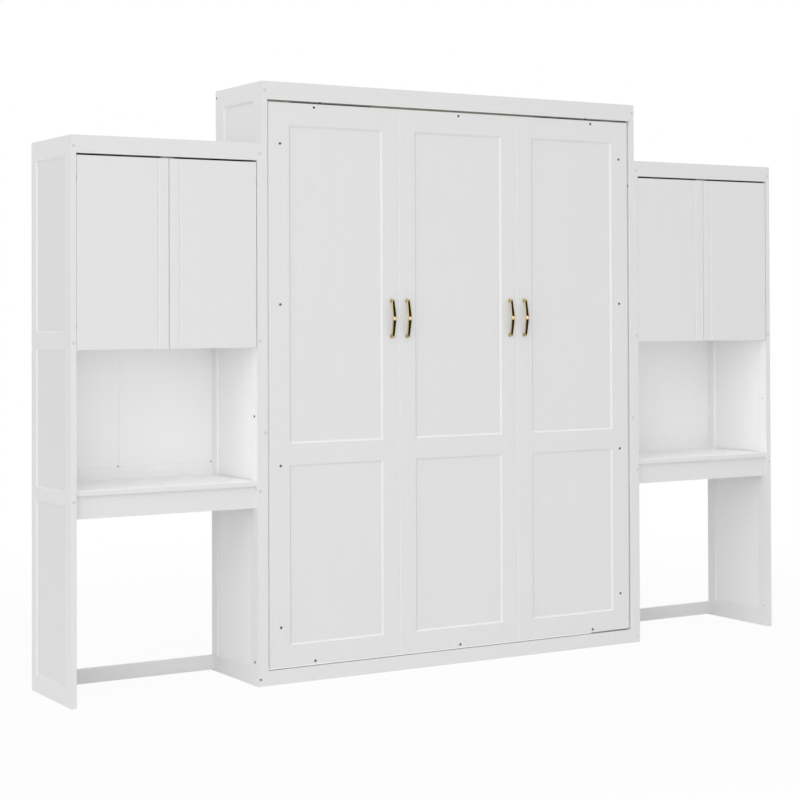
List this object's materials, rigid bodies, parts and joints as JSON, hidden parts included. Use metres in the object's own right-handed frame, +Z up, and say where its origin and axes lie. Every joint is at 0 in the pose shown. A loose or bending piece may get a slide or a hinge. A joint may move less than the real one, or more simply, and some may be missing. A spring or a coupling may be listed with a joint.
{
  "type": "wall bed",
  "caption": "Upright wall bed in a white panelled cabinet, flanked by side units with an overhead two-door cupboard, an open niche and a fixed desk; the bed folds down on gas struts.",
  "frame": {"origin": "on the floor, at the middle of the overall width and of the overall depth, handles included", "axes": "+X along the width to the right seen from the front, -Y the front that the bed folds out of, +Z up"},
  "size_m": [3.182, 0.449, 2.25],
  "materials": {
    "white_paint": "satin white paint over faint upright grain",
    "bare_wood": "clear matt lacquer",
    "zinc_steel": "zinc plated",
    "dark_steel": "satin black",
    "polished_brass": "polished",
    "pale_plastic": "satin"
  },
  "bodies": {
    "cabinet": {"cabinet_side_left": "white_paint", "cabinet_side_right": "white_paint", "cabinet_side_panels": "white_paint", "cabinet_top_board": "white_paint", "cabinet_fascia": "white_paint", "cabinet_bottom_rail": "white_paint", "cabinet_back_rails": "white_paint", "stop_cleats": "white_paint", "pivot_plate_left": "zinc_steel", "pivot_plate_right": "zinc_steel", "magnet_catches": "pale_plastic", "cover_caps": "pale_plastic", "link_bolts": "dark_steel", "door_hinge_arms": "zinc_steel", "left_side_outer": "white_paint", "left_side_inner": "white_paint", "left_side_panels": "white_paint", "left_top_board": "white_paint", "left_fascia": "white_paint", "left_cupboard_floor": "white_paint", "left_back_board": "white_paint", "left_desk_top": "white_paint", "left_desk_apron": "white_paint", "left_stretcher": "white_paint", "right_side_outer": "white_paint", "right_side_inner": "white_paint", "right_side_panels": "white_paint", "right_top_board": "white_paint", "right_fascia": "white_paint", "right_cupboard_floor": "white_paint", "right_back_board": "white_paint", "right_desk_top": "white_paint", "right_desk_apron": "white_paint", "right_stretcher": "white_paint"},
    "bed": {"bed_face_frame": "white_paint", "bed_face_panels": "white_paint", "bed_side_rail_left": "white_paint", "bed_side_rail_right": "white_paint", "bed_foot_rail": "white_paint", "bed_head_rail": "white_paint", "bed_centre_beam": "bare_wood", "slat_ledges": "bare_wood", "bed_slats": "bare_wood", "face_bolts": "dark_steel", "bed_bracket_left": "zinc_steel", "bed_bracket_right": "zinc_steel", "leg_bolts": "zinc_steel", "pull_handles_left": "polished_brass", "pull_handles_right": "polished_brass"},
    "left_door_outer": {"left_door_outer": "white_paint"},
    "left_door_inner": {"left_door_inner": "white_paint"},
    "right_door_inner": {"right_door_inner": "white_paint"},
    "right_door_outer": {"right_door_outer": "white_paint"},
    "strut_cylinder_left": {"strut_cylinder_left": "dark_steel"},
    "strut_cylinder_right": {"strut_cylinder_right": "dark_steel"},
    "strut_rod_left": {"strut_rod_left": "zinc_steel"},
    "strut_rod_right": {"strut_rod_right": "zinc_steel"},
    "foot_leg_left": {"foot_leg_left": "dark_steel"},
    "foot_leg_right": {"foot_leg_right": "dark_steel"}
  },
  "joints": [
    {"name": "bed_fold", "type": "hinge", "parent": "cabinet", "child": "bed", "pos_m": [0, -0.1305, 0.34], "axis": [1, 0, 0], "range_deg": [0, 90], "stiffness_Nm_per_rad": 394, "springref_deg": -24.29},
    {"name": "left_cylinder_swing", "type": "hinge", "parent": "cabinet", "child": "strut_cylinder_left", "pos_m": [-0.8115, -0.04841, 0.56553], "axis": [1, 0, 0], "range_deg": [0, 45]},
    {"name": "left_rod_swing", "type": "hinge", "parent": "bed", "child": "strut_rod_left", "pos_m": [-0.8115, -0.1305, 0.1], "axis": [1, 0, 0], "range_deg": [-45, 0]},
    {"name": "right_cylinder_swing", "type": "hinge", "parent": "cabinet", "child": "strut_cylinder_right", "pos_m": [0.8115, -0.04841, 0.56553], "axis": [1, 0, 0], "range_deg": [0, 45]},
    {"name": "right_rod_swing", "type": "hinge", "parent": "bed", "child": "strut_rod_right", "pos_m": [0.8115, -0.1305, 0.1], "axis": [1, 0, 0], "range_deg": [-45, 0]},
    {"name": "left_door_outer_hinge", "type": "hinge", "parent": "cabinet", "child": "left_door_outer", "pos_m": [-1.5641, -0.1885, 1.601], "axis": [0, 0, -1], "range_deg": [0, 95]},
    {"name": "left_door_inner_hinge", "type": "hinge", "parent": "cabinet", "child": "left_door_inner", "pos_m": [-0.8819, -0.1885, 1.601], "axis": [0, 0, 1], "range_deg": [0, 95]},
    {"name": "right_door_inner_hinge", "type": "hinge", "parent": "cabinet", "child": "right_door_inner", "pos_m": [0.8819, -0.1885, 1.601], "axis": [0, 0, -1], "range_deg": [0, 95]},
    {"name": "right_door_outer_hinge", "type": "hinge", "parent": "cabinet", "child": "right_door_outer", "pos_m": [1.5641, -0.1885, 1.601], "axis": [0, 0, 1], "range_deg": [0, 95]},
    {"name": "left_leg_swing", "type": "hinge", "parent": "bed", "child": "foot_leg_left", "pos_m": [-0.7, -0.1515, 2.1775], "axis": [0, 0, -1], "range_deg": [0, 90]},
    {"name": "right_leg_swing", "type": "hinge", "parent": "bed", "child": "foot_leg_right", "pos_m": [0.7, -0.1515, 2.1775], "axis": [0, 0, 1], "range_deg": [0, 90]}
  ],
  "couplings": [
    {"joint": "left_cylinder_swing", "follows": "bed_fold", "ratio": 0.5},
    {"joint": "left_rod_swing", "follows": "bed_fold", "ratio": -0.5},
    {"joint": "right_cylinder_swing", "follows": "bed_fold", "ratio": 0.5},
    {"joint": "right_rod_swing", "follows": "bed_fold", "ratio": -0.5}
  ]
}
